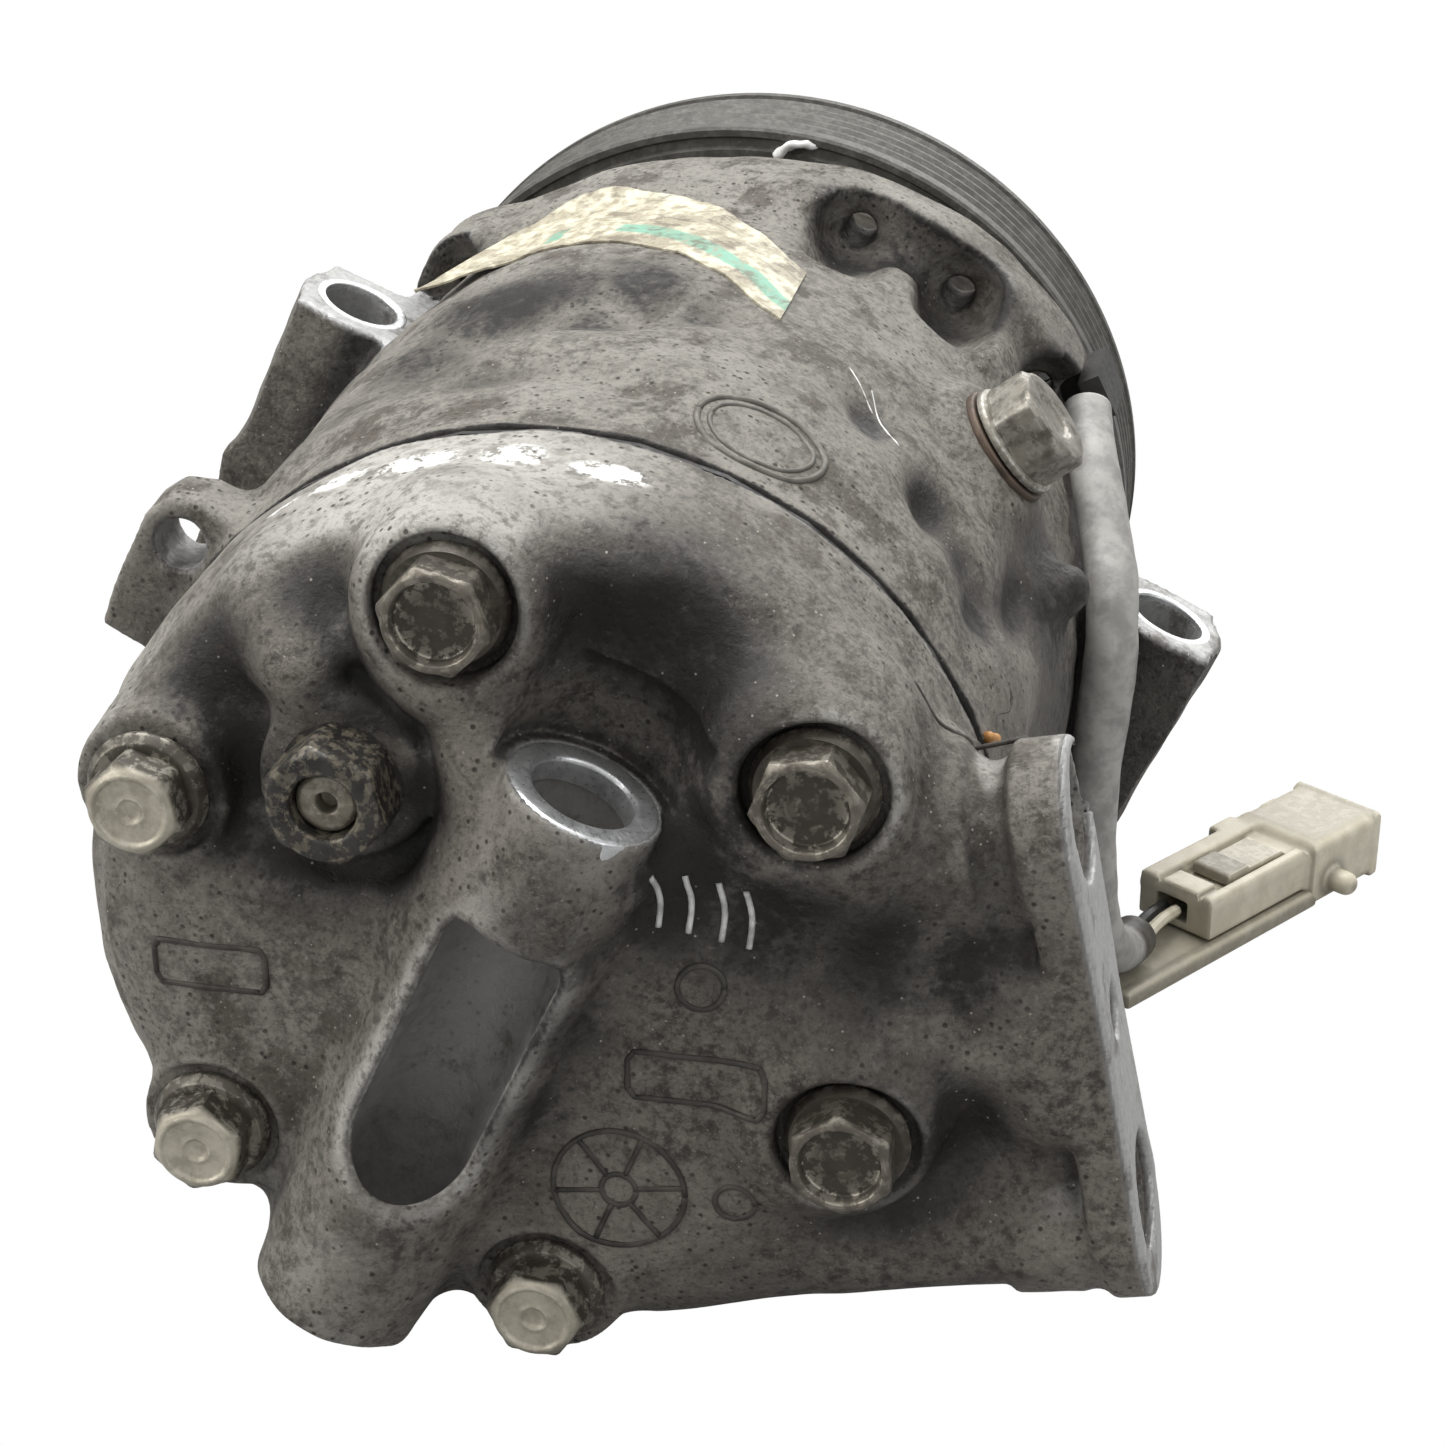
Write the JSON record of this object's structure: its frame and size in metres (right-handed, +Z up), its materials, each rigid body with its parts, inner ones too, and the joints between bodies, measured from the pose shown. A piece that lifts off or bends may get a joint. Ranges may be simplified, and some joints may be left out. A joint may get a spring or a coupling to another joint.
{
  "type": "automotive ac compressor",
  "caption": "Belt driven automotive air conditioning compressor: cast body on bolt bosses, bolted rear head with side port flange, magnetic clutch pulley and coil lead with plug.",
  "frame": {"origin": "centre of the bounding box's base without the coil lead: the shaft axis is 62.5 mm above it", "axes": "+Z up as the part lies, +Y along the shaft from the rear head to the pulley, +X towards the port flange"},
  "size_m": [0.1881, 0.208, 0.125],
  "materials": {
    "cast_aluminium": "sand cast, stained grey-brown",
    "machined_aluminium": "machined",
    "zinc_steel": "zinc plated, dulled",
    "ground_steel": "ground",
    "spring_steel": "rolled, plain",
    "black_steel": "black coated",
    "pulley_steel": "worn, belt polished",
    "swash_bronze": "coated, ground",
    "gasket_rubber": "rubber coated steel",
    "seal_rubber": "moulded",
    "coil_resin": "potted",
    "sleeve_plastic": "dusty grey",
    "wire_black": "insulation",
    "wire_cream": "insulation",
    "connector_cream": "aged nylon",
    "copper_washer": "dull copper",
    "valve_brass": "turned"
  },
  "bodies": {
    "compressor": {"rear_head": "cast_aluminium", "head_gasket": "gasket_rubber", "discharge_reed": "spring_steel", "valve_plate": "ground_steel", "suction_reed": "spring_steel", "cylinder_block": "machined_aluminium", "front_housing": "cast_aluminium", "head_bolt_1": "zinc_steel", "head_bolt_2": "zinc_steel", "head_bolt_3": "zinc_steel", "head_bolt_4": "zinc_steel", "head_bolt_5": "zinc_steel", "head_bolt_6": "zinc_steel", "relief_valve_body": "black_steel", "relief_valve_disc": "black_steel", "control_valve": "valve_brass", "oil_plug": "zinc_steel", "oil_plug_washer": "copper_washer", "bearing_rear": "ground_steel", "bearing_front": "ground_steel", "lug_thrust_bearing": "ground_steel", "shaft_seal": "seal_rubber", "coil_yoke": "black_steel", "coil_winding": "coil_resin", "bearing_circlip": "spring_steel", "pulley_bearing": "ground_steel", "lead_grommet": "seal_rubber", "lead_sleeve": "sleeve_plastic", "lead_wire_1": "wire_black", "lead_wire_2": "wire_cream", "connector_body": "connector_cream", "connector_rail": "connector_cream", "connector_lock": "connector_cream"},
    "rotor": {"drive_shaft": "ground_steel", "lug_plate": "ground_steel", "clutch_hub": "pulley_steel", "hub_spring": "spring_steel", "hub_nut": "zinc_steel"},
    "swash": {"swash_plate": "swash_bronze"},
    "armature": {"armature_plate": "pulley_steel"},
    "belt_pulley": {"pulley": "pulley_steel", "pulley_circlip": "spring_steel"},
    "piston_1_body": {"piston_1": "machined_aluminium"},
    "shoes_1": {"shoe_1_rear": "ground_steel", "shoe_1_front": "ground_steel"},
    "piston_2_body": {"piston_2": "machined_aluminium"},
    "shoes_2": {"shoe_2_rear": "ground_steel", "shoe_2_front": "ground_steel"},
    "piston_3_body": {"piston_3": "machined_aluminium"},
    "shoes_3": {"shoe_3_rear": "ground_steel", "shoe_3_front": "ground_steel"},
    "piston_4_body": {"piston_4": "machined_aluminium"},
    "shoes_4": {"shoe_4_rear": "ground_steel", "shoe_4_front": "ground_steel"},
    "piston_5_body": {"piston_5": "machined_aluminium"},
    "shoes_5": {"shoe_5_rear": "ground_steel", "shoe_5_front": "ground_steel"},
    "piston_6_body": {"piston_6": "machined_aluminium"},
    "shoes_6": {"shoe_6_rear": "ground_steel", "shoe_6_front": "ground_steel"}
  },
  "joints": [
    {"name": "shaft_spin", "type": "hinge", "parent": "compressor", "child": "rotor", "pos_m": [-0.0003, -0.061, 0.0625], "axis": [0, 1, 0], "continuous": true},
    {"name": "pulley_spin", "type": "hinge", "parent": "compressor", "child": "belt_pulley", "pos_m": [-0.0003, 0.069, 0.0625], "axis": [0, 1, 0], "continuous": true},
    {"name": "clutch_engage", "type": "slide", "parent": "rotor", "child": "armature", "axis": [0, -1, 0], "range_m": [0, 0.00045], "stiffness_N_per_m": 4000},
    {"name": "swash_tilt", "type": "hinge", "parent": "compressor", "child": "swash", "pos_m": [-0.0003, 0.007, 0.0625], "axis": [1, 0, 0], "range_deg": [0, 15], "stiffness_Nm_per_rad": 2},
    {"name": "piston_1_slide", "type": "slide", "parent": "compressor", "child": "piston_1_body", "axis": [0, 1, 0], "range_m": [-0.00732, 0]},
    {"name": "shoes_1_turn", "type": "hinge", "parent": "piston_1_body", "child": "shoes_1", "pos_m": [-0.01951, 0.007, 0.08933], "axis": [1, 0, 0], "range_deg": [0, 15.5]},
    {"name": "piston_2_slide", "type": "slide", "parent": "compressor", "child": "piston_2_body", "axis": [0, 1, 0], "range_m": [-0.00817, 0]},
    {"name": "shoes_2_turn", "type": "hinge", "parent": "piston_2_body", "child": "shoes_2", "pos_m": [0.01333, 0.007, 0.09255], "axis": [1, 0, 0], "range_deg": [0, 15.5]},
    {"name": "piston_3_slide", "type": "slide", "parent": "compressor", "child": "piston_3_body", "axis": [0, 1, 0], "range_m": [-0.00105, 0]},
    {"name": "shoes_3_turn", "type": "hinge", "parent": "piston_3_body", "child": "shoes_3", "pos_m": [0.03254, 0.007, 0.06572], "axis": [1, 0, 0], "range_deg": [0, 15.5]},
    {"name": "piston_4_slide", "type": "slide", "parent": "compressor", "child": "piston_4_body", "axis": [0, 1, 0], "range_m": [0, 0.00732]},
    {"name": "shoes_4_turn", "type": "hinge", "parent": "piston_4_body", "child": "shoes_4", "pos_m": [0.01891, 0.007, 0.03567], "axis": [1, 0, 0], "range_deg": [0, 15.5]},
    {"name": "piston_5_slide", "type": "slide", "parent": "compressor", "child": "piston_5_body", "axis": [0, 1, 0], "range_m": [0, 0.00817]},
    {"name": "shoes_5_turn", "type": "hinge", "parent": "piston_5_body", "child": "shoes_5", "pos_m": [-0.01393, 0.007, 0.03245], "axis": [1, 0, 0], "range_deg": [0, 15.5]},
    {"name": "piston_6_slide", "type": "slide", "parent": "compressor", "child": "piston_6_body", "axis": [0, 1, 0], "range_m": [0, 0.00105]},
    {"name": "shoes_6_turn", "type": "hinge", "parent": "piston_6_body", "child": "shoes_6", "pos_m": [-0.03314, 0.007, 0.05928], "axis": [1, 0, 0], "range_deg": [0, 15.5]}
  ],
  "couplings": [
    {"joint": "piston_1_slide", "follows": "swash_tilt", "m_per_rad": -0.027183},
    {"joint": "shoes_1_turn", "follows": "swash_tilt", "ratio": 1},
    {"joint": "piston_2_slide", "follows": "swash_tilt", "m_per_rad": -0.030445},
    {"joint": "shoes_2_turn", "follows": "swash_tilt", "ratio": 1},
    {"joint": "piston_3_slide", "follows": "swash_tilt", "m_per_rad": -0.003262},
    {"joint": "shoes_3_turn", "follows": "swash_tilt", "ratio": 1},
    {"joint": "piston_4_slide", "follows": "swash_tilt", "m_per_rad": 0.027183},
    {"joint": "shoes_4_turn", "follows": "swash_tilt", "ratio": 1},
    {"joint": "piston_5_slide", "follows": "swash_tilt", "m_per_rad": 0.030445},
    {"joint": "shoes_5_turn", "follows": "swash_tilt", "ratio": 1},
    {"joint": "piston_6_slide", "follows": "swash_tilt", "m_per_rad": 0.003262},
    {"joint": "shoes_6_turn", "follows": "swash_tilt", "ratio": 1}
  ]
}
